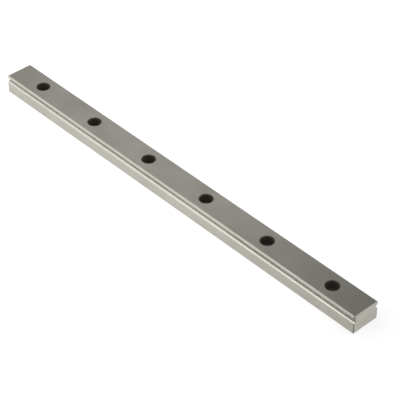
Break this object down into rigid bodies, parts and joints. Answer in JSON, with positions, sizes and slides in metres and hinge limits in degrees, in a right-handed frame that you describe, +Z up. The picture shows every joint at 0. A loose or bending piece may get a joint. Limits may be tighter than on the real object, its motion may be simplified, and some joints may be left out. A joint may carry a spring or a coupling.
{
  "type": "linear guide rail",
  "caption": "Straight miniature guide rail: a ground steel bar with a ball raceway along each side and a row of counterbored screw holes down its top.",
  "frame": {"origin": "middle of the base face, where the rail rests", "axes": "+X along the rail, +Y across it, +Z up from the base to the top face"},
  "size_m": [0.24, 0.015, 0.01],
  "materials": {
    "ground_steel": "hardened steel, ground lengthwise to a satin shine; screw holes black from hardening"
  },
  "bodies": {
    "root": {"guide_rail": "ground_steel"}
  },
  "joints": []
}
